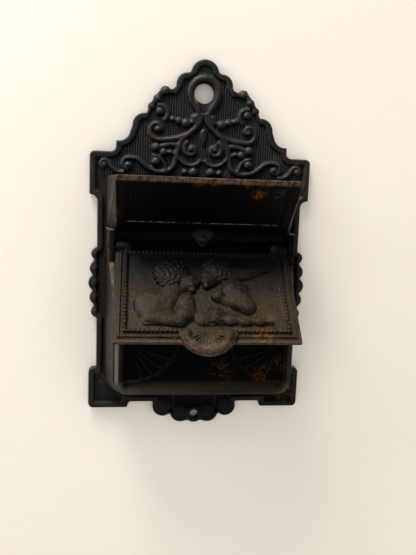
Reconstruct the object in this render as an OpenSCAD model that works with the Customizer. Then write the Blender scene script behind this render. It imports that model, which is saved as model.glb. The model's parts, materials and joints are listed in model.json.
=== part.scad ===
// Wall match holder in cast iron: a scrolled back plate, an open tray with striker ribs above,
// and a box below with a sloping, hinged lid.
// The origin is the centre of the hanging hole, on the back face. +Z is up and the front faces -Y.

/* [Back plate] */
// Width over the ears and feet
plate_w = 108; // [100:1:124]
// Height from the foot of the palmette to the top of the arch
plate_h = 180.9; // [170:0.1:200]
// Thickness of the plate's ground
plate_t = 2.4; // [2:0.1:4]
// Hanging hole's centre to the top of the arch
arch_rise = 15.6; // [14:0.1:20]
// Hanging hole's centre to the top of the ears
ear_drop = 29; // [27:0.5:34]
// Height of an ear
ear_h = 20.6; // [16:0.2:26]
// Width of an ear, in to the step of the pediment
ear_w = 12.4; // [10:0.2:15]
// How far ears and feet stand out from the straight sides
ear_out = 3.8; // [2.5:0.1:5]
// Width of a foot
foot_w = 20.4; // [16:0.2:26]
// Height of a foot
foot_h = 21; // [16:0.2:26]
// How far a foot reaches below the bottom edge
foot_low = 3; // [1.5:0.1:5]
// Width of the raised rim
rim_w = 2.2; // [1.4:0.1:2.4]
// Height of the raised rim above the ground
rim_h = 1.3; // [0.5:0.1:1.6]
// Diameter of the hanging hole
hang_hole_d = 9.4; // [7:0.1:11]
// Diameter of the lower screw hole
screw_hole_d = 4.2; // [3:0.1:5.4]
// Bottom edge to the centre of the lower screw hole
screw_hole_drop = 6.8; // [6:0.1:9]

/* [Scrollwork] */
// Width of a scroll's band at its root
scroll_w = 2.4; // [1.6:0.1:2.8]
// Height of the scrolls above the ground
scroll_h = 1.6; // [0.8:0.1:2]

/* [Box] */
// Width of the box at its front
box_w = 81; // [76:0.5:84]
// How much each side flares out where it meets the plate
box_flare = 6; // [5:0.1:7]
// Depth of the box in front of the plate
box_d = 39; // [34:0.5:46]
// Bottom edge of the plate to the underside of the box at its front
box_lift = 17.4; // [14:0.1:24]
// How much lower the underside is where it meets the plate
box_sag = 10.5; // [6:0.5:12]
// Thickness of the cast walls
wall = 2.4; // [1.8:0.1:3]
// Bevel on the front corners
corner_bevel = 3; // [2:0.1:5]
// Radius of the lower corners, seen from the front
corner_r = 6; // [4:0.5:9]
// Depth of the sunk field on the front
field_depth = 2.6; // [1:0.1:3.2]
// Width of the plain border round the field
field_border = 1.6; // [1:0.1:3]
// Height of the cove along the bottom of the field
cove_h = 4; // [3.5:0.1:8]
// Radius of the corner fans
fan_r = 21.5; // [16:0.5:22]
// Ribs in each fan
fan_ribs = 4; // [3:1:8]

/* [Tray] */
// Width of the tray's front
tray_w = 80; // [74:0.5:84]
// How far the lip stands back from the front of the box
lip_set = 0; // [0:0.2:6]
// How far the foot of the front stands out from the plate
foot_out = 15; // [13.5:0.1:18]
// Hanging hole's centre to the top of the lip
lip_drop = 40.7; // [38:0.1:44]
// Hanging hole's centre to the underside of the tray
seat_drop = 65.3; // [62:0.1:69]
// Height of the lip's upright face
lip_h = 2.5; // [1.5:0.1:3.5]
// How far the lip stands proud of the leaning front
lip_proud = 0.6; // [0.3:0.1:1]
// Distance between striker ribs
rib_pitch = 1.6; // [1.2:0.1:2.4]
// Height of the three-cornered lug
lug_h = 7.5; // [6.5:0.1:8]
// Width of the three-cornered lug
lug_w = 13.5; // [10:0.5:18]
// Thickness of the lug
lug_t = 1.8; // [1.4:0.1:2.2]

/* [Lid] */
// Slope of the closed lid, below level
lid_slope = 45; // [40:1:50]
// Width of the lid
lid_w = 81.6; // [76:0.2:82]
// Hinge axis to the lid's front edge
lid_l = 51; // [48:0.5:56]
// Thickness of the lid
lid_t = 2.2; // [1.8:0.1:3]
// Underside of the tray to the hinge axis
waist_h = 8.1; // [7.5:0.1:10]
// Lug's face to the hinge axis
axis_lead = 0.8; // [0.6:0.1:2]
// Radius of the hinge knuckles
knuckle_r = 2.7; // [2.3:0.1:3]
// Length of a hinge knuckle
knuckle_l = 8; // [6:0.2:12]
// Radius of the shell thumb piece
shell_r = 13.2; // [10:0.1:15]
// Ribs in the shell
shell_ribs = 11; // [7:2:15]
// Height of the lid's raised mouldings
bead_h = 0.7; // [0.4:0.1:1.2]
// Distance between beads on the inner moulding
bead_pitch = 1.95; // [1.6:0.05:3]
// Height of the figures' lower step, and of the upper one above that
relief_h = 0.8; // [0.5:0.1:1]

/* [Pins and rivets] */
// Diameter of the hinge pins
pin_d = 2.4; // [2:0.1:2.8]
// Diameter of a rivet's shank
rivet_d = 2.4; // [2:0.1:3]
// Diameter of a rivet's head
head_d = 4.2; // [3.6:0.1:5]

/* [Fits] */
// Running clearance of the pins in the knuckles, on the radius
run_fit = 0.06; // [0.02:0.01:0.1]
// Clearance of pins and rivets in the pieces that hold them, on the radius
hold_fit = 0.02; // [0.01:0.01:0.05]
// Gap between the lid and the fixed pieces
lid_gap = 0.35; // [0.3:0.05:0.6]

/* [Hidden] */
$fn = 48;
iron_plate = [0.10, 0.095, 0.095];
iron_box = [0.13, 0.12, 0.11];
iron_tray = [0.12, 0.11, 0.105];
iron_lid = [0.33, 0.28, 0.23];
iron_pin = [0.22, 0.17, 0.14];
through = 1;
thin = 0.01;
sink = 0.3;

half_w = plate_w / 2;
side_x = half_w - ear_out;
ped_x = half_w - ear_w;
ear_z = -ear_drop;
eyelet_r = screw_hole_d / 2 + 2.5;
base_z = arch_rise + eyelet_r + screw_hole_drop - plate_h;
foot_z = base_z - foot_low;
foot_x = half_w - foot_w;
seat_z = -seat_drop;
lip_z = -lip_drop;
hinge_z = seat_z - waist_h;
lip_out = box_d - lip_proud - lip_set;
lug_face = foot_out - lug_t;
hinge_out = lug_face + axis_lead;
web_face = lug_face - lug_t;
pin_r = pin_d / 2;
rivet_r = rivet_d / 2;
head_r = head_d / 2;
head_h = head_r * 0.6;
screw_z = base_z - screw_hole_drop;

// Points along an arc, a list in reverse order, and the mirror image of a half outline
function arc(c, r, a0, a1, n = 8) = [for (i = [0:n]) c + r * turned(a0 + (a1 - a0) * i / n)];
function turned(a) = [cos(a), sin(a)];
function backwards(list) = [for (i = [len(list) - 1:-1:0]) list[i]];
function flipped(list) = [for (p = backwards(list)) if (p[0] > thin) [-p[0], p[1]]];
function after_first(list) = [for (i = [1:len(list) - 1]) list[i]];

// Draws a front elevation and gives it a depth towards the viewer
module elevation(depth, from = 0) {
  translate([0, -from, 0]) rotate([90, 0, 0]) linear_extrude(depth) children();
}

// Draws a side profile, as distance out from the plate and height, across a width
module profile(width) {
  translate([0, -plate_t, 0]) rotate([90, 0, -90]) linear_extrude(width, center = true) children();
}

module both_sides() {
  children();
  mirror([1, 0, 0]) children();
}

// A low dome on a level face
module dome(r) {
  rise = r * 0.4;
  ball = (r * r + rise * rise) / (2 * rise);
  intersection() {
    translate([0, 0, rise - ball]) sphere(ball);
    translate([0, 0, -sink / 2]) cylinder(r = 2 * r, h = 2 * r);
  }
}

// Plate outline: the pediment's lobes are places in shares of its half width and drop, with radii in mm
shoulder = [0.2 * ped_x, 0.135 * ear_drop];
shoulder_r = 5.3;
notch = [0.36 * ped_x, 0.048 * ear_drop];
lobe_least = 0.3;
lobes = [[0.452, 0, 2.5, 155, 10], [0.536, -0.128, 2.2, 75, -5], [0.601, -0.255, 2, 80, -30]];
swell = [0.68 * ped_x, -0.559 * ear_drop];
swell_r = 5.8;
hollow_r = 5.5;
hollow = [ped_x - 1.1, -0.634 * ear_drop];
corner = 2.4;
toe = 1;
arch_r = 6.8;
cove_r = 3.4;
leaf_radii = [3, 3.7, 4.3, 3.7, 3];
leaf_step = 7.2;
leaf_reach = 2 * leaf_step + leaf_radii[0];
leaf_mid = (ear_z - ear_h + foot_z + foot_h) / 2;
petals = [[16.3, -2.7, 5.2, 20, -135], [7, -5.7, 5.4, -17, -120]];
petal_x = petals[0][0] + petals[0][2];
petal_gap = 1;

function pediment(d) = concat(
  arc([0, arch_rise - arch_r], arch_r - d, 90, 8),
  arc(shoulder, shoulder_r - d, 95, -12),
  [notch - [d * 0.5, d]],
  [for (b = lobes) each arc([b[0] * ped_x, b[1] * ear_drop], max(b[2] - d, lobe_least), b[3], b[4], 6)],
  arc(swell, swell_r - d, 100, -5),
  arc(hollow, hollow_r + d, 190, 265));

function ear(d) = concat(
  [[ped_x - d, hollow[1] - hollow_r - d]],
  arc([ped_x + corner, ear_z + corner], corner + d, 180, 270, 4),
  arc([half_w - corner, ear_z - corner], corner - d, 90, 0, 4),
  [[half_w - d, ear_z - ear_h + d]],
  arc([side_x + cove_r, ear_z - ear_h - cove_r], cove_r + d, 110, 180, 5));

function side_leaf(d) = concat(
  [[side_x - d, leaf_mid + leaf_reach]],
  [for (i = [0:len(leaf_radii) - 1])
    each arc([side_x - 0.2, leaf_mid + leaf_step * (2 - i)], leaf_radii[i] - d, 60, -60, 6)],
  [[side_x - d, leaf_mid - leaf_reach]]);

function foot(d) = concat(
  [[side_x - d, foot_z + foot_h - d]],
  arc([half_w - corner, foot_z + foot_h - corner], corner - d, 90, 0, 4),
  arc([half_w - corner, foot_z + corner], corner - d, 0, -90, 4),
  [[foot_x + toe + d, foot_z + d], [foot_x + d, base_z + d], [petal_x - d, base_z + d]]);

function palmette(d) = concat(
  [for (p = petals) each arc([p[0], base_z + p[1]], p[2] - d / 2, p[3], p[4], 10)],
  arc([0, screw_z], eyelet_r - d, -50, -90, 4));

function half_outline(d) = concat(pediment(d), ear(d), side_leaf(d), foot(d), palmette(d));
function outline(d) = concat(half_outline(d), flipped(half_outline(d)));

// Scroll paths: stems are cubic curves and volutes are spirals
function stem(a, b, c, d, n = 12) = [for (i = [0:n]) let (t = i / n, s = 1 - t)
  s * s * s * a + 3 * s * s * t * b + 3 * s * t * t * c + t * t * t * d];
function volute(c, r0, r1, a0, a1, n = 22) = [for (i = [0:n]) let (t = i / n, a = a0 + (a1 - a0) * t)
  c + (r0 + (r1 - r0) * t) * [cos(a), sin(a)]];
function edge(path, w0, w1, s) = let (n = len(path) - 1) [for (i = [0:n])
  let (run = path[min(i + 1, n)] - path[max(i - 1, 0)], u = run / norm(run), w = w0 + (w1 - w0) * i / n)
  path[i] + s * w / 2 * [-u[1], u[0]]];

module band(path, w0, w1) {
  polygon(concat(edge(path, w0, w1, 1), backwards(edge(path, w0, w1, -1))));
}

// Each scroll is a path with its widths at root and tip, as shares of the band's full width
scrolls = [
  [concat(arc([0, 0], 6.7, 90, -20, 14), stem([6.1, -3], [5, -6], [2.2, -8], [2.5, -10.4], 8),
    volute([4.2, -11.3], 1.85, 0.95, 172, 395, 10)), 1.15, 0.65],
  [concat(stem([0.9, -9.4], [1.2, -16.5], [9, -22.6], [20.4, -22.7]),
    volute([21.9, -17.8], 4.9, 1, -95, 230)), 1, 0.65],
  [stem([19.4, -13.6], [16.2, -12.2], [16.6, -6.2], [22.4, -6.6]), 0.9, 0.7],
  [stem([1.6, -12.4], [5, -14.9], [8, -13.8], [15, -12.8], 8), 0.6, 0.4],
  [volute([5.7, -26.6], 4, 0.9, 70, -330, 26), 0.9, 0.6],
  [concat(stem([6.4, -19.2], [12.8, -21.4], [12.2, -30], [13.8, -34.4]),
    after_first(stem([13.8, -34.4], [15.4, -38.6], [22, -39], [26.6, -36])),
    after_first(stem([26.6, -36], [29.6, -34], [30.6, -31.6], [34.4, -31.7], 8)),
    volute([35.9, -35.1], 3.4, 0.9, 95, -235)), 1, 0.6],
  [concat(stem([37.6, -38.7], [41.6, -39.6], [43.4, -37], [44.5, -34.6], 8),
    volute([47.2, -35.4], 2.6, 0.8, 145, -170, 16)), 0.8, 0.5],
  [stem([17.7, -37.5], [18.2, -32.4], [20.6, -29.9], [24.2, -30.2], 8), 0.7, 0.5],
  [stem([12.4, -25.4], [14.8, -23.9], [17.6, -25.2], [22.2, -26.2], 8), 0.75, 0.6],
  [stem([12.8, -30.2], [14.4, -28], [16.6, -28.2], [18.9, -28.5], 6), 0.6, 0.5],
  [stem([0.9, -31.4], [2.6, -35.3], [8.8, -35.7], [11.8, -30.6], 10), 0.8, 0.7]];
scroll_buttons = [[21.9, -17.8, 1.8], [5.7, -26.6, 1.7], [35.9, -35.1, 1.65], [47.2, -35.4, 1.35],
  [4.2, -11.3, 1.3], [21.2, -9.6, 1.6], [8.6, -14.6, 1.8], [12, -13.6, 1.3], [15.1, -12.8, 1],
  [22.7, -26.4, 1.7], [19, -28.6, 1.6], [15.8, -28.4, 1.2], [22.7, -33.3, 1.8], [4.2, -37.6, 1.9],
  [8.4, -37.5, 1.2]];
bud_mid = -20.4;
bud = stem([0, 4], [3.4, 2.4], [1.6, -2], [0, -5], 8);

// A scroll has a stepped section, a wide low band under a narrow high one, and ends in a domed button
module scroll_face(share) {
  both_sides() {
    for (s = scrolls) band(s[0], scroll_w * s[1] * share, scroll_w * s[2] * share);
    for (end = scroll_buttons) translate([end[0], end[1]]) circle(end[2] * sqrt(share));
  }
  translate([0, bud_mid]) scale(sqrt(share)) polygon(concat(bud, flipped(bud)));
}

// A dome on the plate, at a height above its ground
module cap(place, r, height) {
  translate([place[0], -plate_t - height, place[1]]) rotate([90, 0, 0]) dome(r);
}

module scrollwork() {
  elevation(scroll_h * 0.6 + sink, plate_t - sink) scroll_face(1);
  elevation(scroll_h + sink, plate_t - sink) scroll_face(0.5);
  both_sides() for (end = scroll_buttons) cap([end[0], end[1]], end[2] * 0.6, scroll_h);
}

module palmette_relief() {
  both_sides() for (p = petals) cap([p[0], base_z + p[1]], p[2] - rim_w / 2 - petal_gap, 0);
  elevation(rim_h + sink, plate_t - sink) translate([0, screw_z]) circle(eyelet_r - rim_w / 2);
}

// A hole from the back face to a distance in front of the plate
module drilled(out) {
  elevation(plate_t + out + 2 * through, -through) children();
}

module back_plate() color(iron_plate) difference() {
  union() {
    difference() {
      elevation(plate_t + rim_h) polygon(outline(0));
      elevation(rim_h + through, plate_t) polygon(outline(rim_w));
    }
    scrollwork();
    palmette_relief();
  }
  drilled(scroll_h) circle(hang_hole_d / 2);
  drilled(rim_h) translate([0, screw_z]) circle(screw_hole_d / 2);
  both_sides() drilled(0) translate(box_rivet) circle(rivet_r + hold_fit);
}

// Box: its outlines seen from the front are joined, from the plate to the front face, into a tapering body
box_half = box_w / 2;
flare_x = box_half + box_flare;
straight_d = box_d - corner_bevel;
front_half = box_half - corner_bevel;
front_t = wall + field_depth;
cheek_reach = 3.2;
ear_front = hinge_out + cheek_reach;
box_low = base_z + box_lift;
rivet_lug = [9, 12];
box_rivet_drop = 36;
box_rivet = [flare_x - wall - rivet_lug[0] / 2, hinge_z - box_rivet_drop];

function cheek_x(out) = flare_x - box_flare * out / straight_d;
function floor_z(out) = box_low - box_sag * (1 - out / box_d);
function under_lid(out) = hinge_z - (out - hinge_out) * tan(lid_slope) - (lid_t + lid_gap) / cos(lid_slope);
function tub(half, low, r, top) = concat(
  arc([half - r, low + r], r, 0, -90), arc([r - half, low + r], r, -90, -180), [[-half, top], [half, top]]);

module slice(out, half, low, r, top) {
  elevation(thin, plate_t + out - thin) polygon(tub(half, low, r, top));
}

module box_body() {
  hull() {
    slice(thin, flare_x, floor_z(0), corner_r, seat_z);
    slice(straight_d, box_half, floor_z(straight_d), corner_r, seat_z);
    slice(box_d, front_half, box_low, corner_r, seat_z);
  }
}

module box_hollow() {
  back = box_d - front_t;
  hull() {
    slice(-through, flare_x - wall, floor_z(0) + wall, corner_r - wall, seat_z + through);
    slice(back, cheek_x(back) - wall, floor_z(back) + wall, corner_r - wall, seat_z + through);
  }
}

// Side view of the box's open top: cheeks at the back, then the slope under the lid
module box_side() {
  low = floor_z(0) - through;
  profile(plate_w) polygon([[0, low], [box_d, low], [box_d, under_lid(box_d)],
    [ear_front, under_lid(ear_front)], [ear_front, seat_z], [0, seat_z]]);
}

// Sunk field on the box's front, with a cove along its foot and two corner fans
field_x = front_half - field_border;
field_low = box_low + 0.8;
field_top = under_lid(box_d) - field_border;
field_out = box_d - field_depth;
cove_sweep = (field_depth * field_depth + cove_h * cove_h) / (2 * field_depth);
fan_centre = [field_x - 3.5, field_low + cove_h + fan_r];
fan_apex = [0, -5];
fan_root = 4;
fan_h = 0.9;
fan_line = 1.2;

module field_outline() {
  polygon(tub(field_x, field_low, corner_r - field_border, field_top));
}

module field_cut() {
  cove = arc([field_out + cove_sweep, field_low + cove_h], cove_sweep, 180, 180 + asin(cove_h / cove_sweep));
  intersection() {
    elevation(front_t, plate_t + field_out - thin) field_outline();
    profile(plate_w) polygon(concat([[field_out, field_top + through]], cove,
      [[box_d + through, field_low], [box_d + through, field_top + through]]));
  }
}

module fan_rib() {
  polygon([[fan_root, -fan_line * 0.2], [fan_r, -fan_line * 0.6], [fan_r, fan_line * 0.6],
    [fan_root, fan_line * 0.2]]);
}

module fan() intersection() {
  field_outline();
  translate(fan_centre) {
    difference() {
      circle(fan_r);
      circle(fan_r - fan_line);
    }
    intersection() {
      circle(fan_r - fan_line / 2);
      translate(fan_apex) for (i = [1:fan_ribs]) rotate(180 + 90 * i / (fan_ribs + 1)) fan_rib();
    }
  }
}

// Cross web between the cheeks, with a tab of the lug's shape behind the tray's lug
web_h = lug_h * 0.65;
lug_tip_r = 1.2;
lug_tip_sweep = [215, 325];
lug_rivet_z = seat_z - lug_h * 0.5;
function lug(w, h) = concat([[w / 2, seat_z], [-w / 2, seat_z]],
  arc([0, seat_z - h + lug_tip_r], lug_tip_r, lug_tip_sweep[0], lug_tip_sweep[1], 6));

module web() {
  half = cheek_x(web_face) - wall / 2;
  elevation(wall, plate_t + web_face - wall) union() {
    translate([-half, seat_z - web_h]) square([2 * half, web_h]);
    polygon(lug(lug_w, lug_h));
  }
}

module rivet_lugs() {
  size = rivet_lug + [wall, 0];
  both_sides() elevation(wall, plate_t) translate(box_rivet - size / 2) square(size);
}

module match_box() color(iron_box) difference() {
  union() {
    difference() {
      intersection() {
        box_body();
        box_side();
      }
      box_hollow();
      field_cut();
    }
    both_sides() elevation(fan_h + sink, plate_t + field_out - sink) fan();
    web();
    rivet_lugs();
  }
  both_sides() {
    drilled(wall) translate(box_rivet) circle(rivet_r + hold_fit);
    pin_place() cylinder(r = pin_r + hold_fit, h = plate_w);
    pin_place() translate([0, 0, pin_seat]) cylinder(r = pin_head_r + hold_fit, h = plate_w);
  }
  drilled(web_face) translate([0, lug_rivet_z]) circle(rivet_r + hold_fit);
}

// Hinge axis: turns a cylinder along X, pointing to the right
module pin_place() {
  translate([0, -plate_t - hinge_out, hinge_z]) rotate([0, 90, 0]) children();
}
pin_head_r = pin_r * 1.5;
pin_head_h = 0.65;
head_sink = 0.15;
pin_seat = cheek_x(hinge_out + pin_head_r) - pin_head_h - head_sink;
cheek_lean = atan(box_flare / straight_d);
knuckle_end = cheek_x(hinge_out + knuckle_r) - wall / cos(cheek_lean) - 2 * lid_gap;
pin_grip = 6.4;
pin_tip = knuckle_end - pin_grip;
pin_room = 0.4;

module hinge_pin() color(iron_pin) pin_place() {
  translate([0, 0, pin_tip]) cylinder(r = pin_r, h = pin_seat - pin_tip);
  translate([0, 0, pin_seat]) cylinder(r = pin_head_r, h = pin_head_h);
}

module hinge_pin_right() hinge_pin();
module hinge_pin_left() mirror([1, 0, 0]) hinge_pin();

// A domed rivet head on a shank that runs towards +Y, with a flat tail where it has one
tail_r = rivet_r * 1.5;
tail_h = 0.8;

module rivet(grip, tail) {
  ball = (head_r * head_r + head_h * head_h) / (2 * head_h);
  rotate([90, 0, 0]) {
    intersection() {
      translate([0, 0, head_h - ball]) sphere(ball);
      cylinder(r = head_r, h = head_h + through);
    }
    translate([0, 0, -grip]) cylinder(r = rivet_r, h = grip + head_h / 2);
    if (tail) translate([0, 0, -grip - tail_h]) cylinder(r = tail_r, h = tail_h);
  }
}

module tray_rivet() color(iron_pin) {
  translate([0, -plate_t - lug_face, lug_rivet_z]) rivet(lug_t + wall, true);
}

module box_rivets() color(iron_pin) {
  both_sides() translate([box_rivet[0], -plate_t - wall, box_rivet[1]]) rivet(plate_t + wall, false);
}

// Tray: a hollow wedge between its plan at the lip and its plan at the foot
tray_half = tray_w / 2;
tray_step = 0.8;
tray_flare = flare_x - tray_step;
panel_z = lip_z - lip_h / 2;
lean = atan((lip_out - foot_out) / (panel_z - seat_z));
panel_l = (panel_z - seat_z) / cos(lean);
floor_out = foot_out - wall / cos(lean) + wall * tan(lean);
rib_margin = 4;
rib_top = 3.4;
rib_foot = 5.1;
rib_field = [tray_half - rib_margin, panel_l - rib_top - rib_foot];
rib_deep = 0.6;
rib_count = floor(rib_field[0] / rib_pitch);

module tray_plan(inset, out, z) {
  flare = tray_flare - inset;
  half = tray_half - inset;
  translate([0, -plate_t, z]) linear_extrude(thin)
    polygon([[-flare, 0], [flare, 0], [half, -out], [-half, -out]]);
}

// The leaning front's own frame: x across, y up the slope from the lip, z outwards
module on_panel() {
  translate([0, -plate_t - lip_out, panel_z]) rotate([90 + lean, 0, 0]) children();
}

module tray_body() {
  hull() {
    tray_plan(0, lip_out, lip_z - thin);
    tray_plan(0, lip_out, panel_z);
    tray_plan(0, foot_out, seat_z);
  }
}

module tray_hollow() {
  translate([0, through, 0]) hull() {
    tray_plan(wall, lip_out - wall + through, lip_z + through);
    tray_plan(wall, lip_out - wall + through, panel_z);
    tray_plan(wall, floor_out + through, seat_z + wall);
  }
}

// Striker: upright ribs in a sunk field of the leaning front
module striker_field() {
  on_panel() translate([-rib_field[0], -rib_field[1] - rib_top, -rib_deep])
    cube([2 * rib_field[0], rib_field[1], rib_deep + through]);
}

module striker_ribs() {
  on_panel() for (i = [-rib_count:rib_count])
    translate([(i - 0.25) * rib_pitch, -rib_field[1] - rib_top - sink / 2, -rib_deep - sink / 2])
      cube([rib_pitch / 2, rib_field[1] + sink, rib_deep]);
}

module upper_tray() color(iron_tray) {
  difference() {
    tray_body();
    tray_hollow();
    striker_field();
  }
  striker_ribs();
  translate([-tray_half, -plate_t - lip_out - lip_proud, lip_z - lip_h]) cube([tray_w, wall, lip_h]);
  difference() {
    elevation(lug_t, plate_t + web_face) polygon(lug(lug_w, lug_h));
    drilled(lug_face) translate([0, lug_rivet_z]) circle(rivet_r + hold_fit);
  }
}

// Lid, drawn level: x across, -y out from the hinge axis, its top face at z = 0
lid_half = lid_w / 2;
lid_back = pin_r + 0.3;
shell_reach = 5.8;
shell_y = shell_r - shell_reach - lid_l;
shell_chord = 4 - lid_l;
shell_h = 2 * bead_h;
fluted_r = 6.8;
flute_w = 0.9;
flute_span = [1.8, 6.5];
outer_frame = [2.2, 0.9];
inner_frame = [4.5, 1.5];
bead_r = 0.6;

// A knuckle is a barrel along the hinge axis with a rounded inner end, rooted in the lid's rear edge
module knuckle() {
  root = knuckle_end - knuckle_l + knuckle_r;
  rotate([0, 90, 0]) rotate_extrude() union() {
    translate([0, root]) square([knuckle_r, knuckle_end - root]);
    intersection() {
      translate([0, root]) circle(knuckle_r);
      translate([0, root - knuckle_r]) square([knuckle_r, knuckle_r + sink]);
    }
  }
  translate([root, -lid_back - through, -lid_t]) cube([knuckle_end - root, lid_back + through, lid_t]);
}

// Shell: a thick rim round a sunk half disc with ribs that spread from the middle of its straight top
module shell() {
  difference() {
    translate([0, 0, -lid_t]) linear_extrude(lid_t + shell_h) intersection() {
      translate([0, shell_y]) circle(shell_r);
      translate([-shell_r, -lid_l - shell_reach]) square([2 * shell_r, lid_l + shell_reach + shell_chord]);
    }
    translate([0, shell_chord, bead_h]) cylinder(r = fluted_r, h = shell_h);
  }
  for (i = [1:shell_ribs]) translate([0, shell_chord, 0]) rotate(180 + 180 * i / (shell_ribs + 1))
    translate([flute_span[0], -flute_w / 2, 0])
      cube([flute_span[1] - flute_span[0], flute_w, shell_h - bead_h / 2]);
}

// A raised frame at a distance in from the lid's edges
function frame_size(inset) = [lid_w - 2 * inset, lid_l - lid_back - 1.4 * inset];

module lid_frame(inset, w) {
  size = frame_size(inset);
  translate([-size[0] / 2, inset - lid_l, -sink]) linear_extrude(bead_h + sink) difference() {
    square(size);
    translate([w, w]) square(size - [2 * w, 2 * w]);
  }
}

module bead_row(a, b) {
  count = round(norm(b - a) / bead_pitch);
  for (i = [0:count - 1]) let (place = a + (b - a) * i / count)
    translate([place[0], place[1], bead_h]) dome(bead_r);
}

module bead_frame() {
  inset = inner_frame[0] + inner_frame[1] / 2;
  x = lid_half - inset;
  low = inset - lid_l;
  high = inner_frame[0] - lid_l + frame_size(inner_frame[0])[1] - inner_frame[1] / 2;
  bead_row([-x, low], [x, low]);
  bead_row([x, low], [x, high]);
  bead_row([x, high], [-x, high]);
  bead_row([-x, high], [-x, low]);
}

// Two winged children over a bank of cloud: round masses with radii, and limbs with widths at both ends
heads = [[-15.2, -16.2, 7.4], [5.8, -14, 6.4]];
masses = [[-6.6, -20.8, 4], [2.2, -18.2, 3.4], [-23, -32.4, 8], [5.4, -27.8, 3], [13.4, -24.4, 5.6],
  [-9.6, -36, 4.2], [1.8, -39, 4]];
limbs = [[[-16, -24], [-18, -30], 8, 9], [[-9.8, -36], [-8.6, -29.4], 7.4, 5],
  [[12.4, -24], [18, -33], 9.6, 7.4], [[18, -33], [6, -28.4], 7, 4.6],
  [[12.6, -14.4], [29, -13.2], 4.6, 1.4],
  [[-26, -40], [-12, -40], 5, 6.4], [[6, -39.4], [28, -41], 5.6, 2.4]];

limb_end = 0.55;

module relief_face(share) {
  for (m = concat(heads, masses)) translate([m[0], m[1]]) circle(m[2] * sqrt(share));
  for (l = limbs) {
    band([l[0], l[1]], l[2] * share, l[3] * share);
    for (i = [0, 1]) translate(l[i]) circle(l[i + 2] * share * limb_end);
  }
}

module figures() {
  translate([0, 0, -sink]) linear_extrude(relief_h + sink) relief_face(1);
  translate([0, 0, -sink]) linear_extrude(2 * relief_h + sink) relief_face(0.5);
  for (head = heads) translate([head[0], head[1], 2 * relief_h]) dome(head[2] * 0.5);
}

module lid() color(iron_lid) translate([0, -plate_t - hinge_out, hinge_z]) rotate([lid_slope, 0, 0]) {
  difference() {
    union() {
      translate([-lid_half, -lid_l, -lid_t]) cube([lid_w, lid_l - lid_back, lid_t]);
      lid_frame(outer_frame[0], outer_frame[1]);
      lid_frame(inner_frame[0], inner_frame[1]);
      bead_frame();
      figures();
      shell();
      both_sides() knuckle();
    }
    both_sides() translate([pin_tip - pin_room, 0, 0]) rotate([0, 90, 0])
      cylinder(r = pin_r + run_fit, h = knuckle_l);
  }
}

back_plate();
match_box();
upper_tray();
lid();
hinge_pin_left();
hinge_pin_right();
tray_rivet();
box_rivets();
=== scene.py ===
# %% [markdown]
# # A wall match holder in old cast iron
#
# The holder hangs on a wall. A scrolled back plate carries an open tray with a ribbed striker, and below it a
# box with a sloping lid on two short pins. This lesson dresses the packed model: it softens the castings the
# way a sand mould does, adds the carving that is too fine for the construction model, and gives the iron its
# age.

# %% Load the packed model
import json
import math

import bpy
from mathutils import Euler, Matrix, Vector
from mathutils.bvhtree import BVHTree


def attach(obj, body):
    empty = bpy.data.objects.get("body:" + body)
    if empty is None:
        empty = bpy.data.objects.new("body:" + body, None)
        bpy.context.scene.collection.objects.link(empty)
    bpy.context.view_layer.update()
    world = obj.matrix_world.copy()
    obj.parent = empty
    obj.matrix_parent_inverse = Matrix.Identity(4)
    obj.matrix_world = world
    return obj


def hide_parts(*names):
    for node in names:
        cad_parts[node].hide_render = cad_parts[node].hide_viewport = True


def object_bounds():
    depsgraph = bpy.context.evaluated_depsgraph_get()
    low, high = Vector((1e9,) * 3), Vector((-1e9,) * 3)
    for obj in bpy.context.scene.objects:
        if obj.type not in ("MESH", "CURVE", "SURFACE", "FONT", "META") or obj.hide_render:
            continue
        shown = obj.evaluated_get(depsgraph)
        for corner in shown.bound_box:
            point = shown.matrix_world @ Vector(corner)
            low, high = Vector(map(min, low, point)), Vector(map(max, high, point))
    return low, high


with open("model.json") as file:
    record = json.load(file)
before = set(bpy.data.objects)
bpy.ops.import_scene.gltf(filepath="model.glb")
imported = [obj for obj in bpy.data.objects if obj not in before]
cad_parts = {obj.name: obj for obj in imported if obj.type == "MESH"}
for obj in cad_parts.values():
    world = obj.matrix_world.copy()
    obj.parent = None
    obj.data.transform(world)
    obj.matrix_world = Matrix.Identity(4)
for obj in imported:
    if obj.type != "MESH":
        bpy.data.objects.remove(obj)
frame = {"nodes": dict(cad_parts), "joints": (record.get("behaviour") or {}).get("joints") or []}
cad_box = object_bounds()
nodes = frame["nodes"]
print("nodes:", sorted(nodes))

# %% [markdown]
# ## Camera
#
# The picture was taken from a little to the left of the holder and just above its middle, with the camera
# tipped down. A camera in Blender looks along its own -Z axis, so a turn of 90 degrees round X would level
# it. Here that turn stops short, which tips the camera down, and the turns round Y and Z are the lean and the
# swing. The lens follows from the focal length in pixels over the image height.

# %% Camera
MM = 0.001
IMAGE_HEIGHT = 555
FOCAL_PIXELS = 575
SENSOR = 36.0
NEAR_CLIP = 0.01
camera_place = Vector((-31.1, -286.7, -46.5)) * MM
camera_turn = Euler([math.radians(a) for a in (81.51, -2.09, -6.91)])

bpy.ops.object.select_all(action="DESELECT")
bpy.ops.object.camera_add(location=camera_place, rotation=camera_turn)
camera = bpy.context.object
camera.data.sensor_fit = "VERTICAL"
camera.data.sensor_height = SENSOR
camera.data.lens = FOCAL_PIXELS / IMAGE_HEIGHT * SENSOR
camera.data.clip_start = NEAR_CLIP
bpy.context.scene.camera = camera
print("lens:", round(camera.data.lens, 1), "mm")

# %% [markdown]
# ## A helper for shader nodes
#
# A finish in Blender is a tree of nodes joined by links. By hand each node is added, filled in and joined
# with the mouse. In code that takes several lines for every node, so this small class gives the steps short
# names. What it feeds to a socket is either another node's output, which it links, or a plain value.

# %% Wiring
# A Mix node has sockets for each kind of data. These are the numbers of the ones for colours
MIX_A, MIX_B, MIX_RESULT = 6, 7, 2


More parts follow.
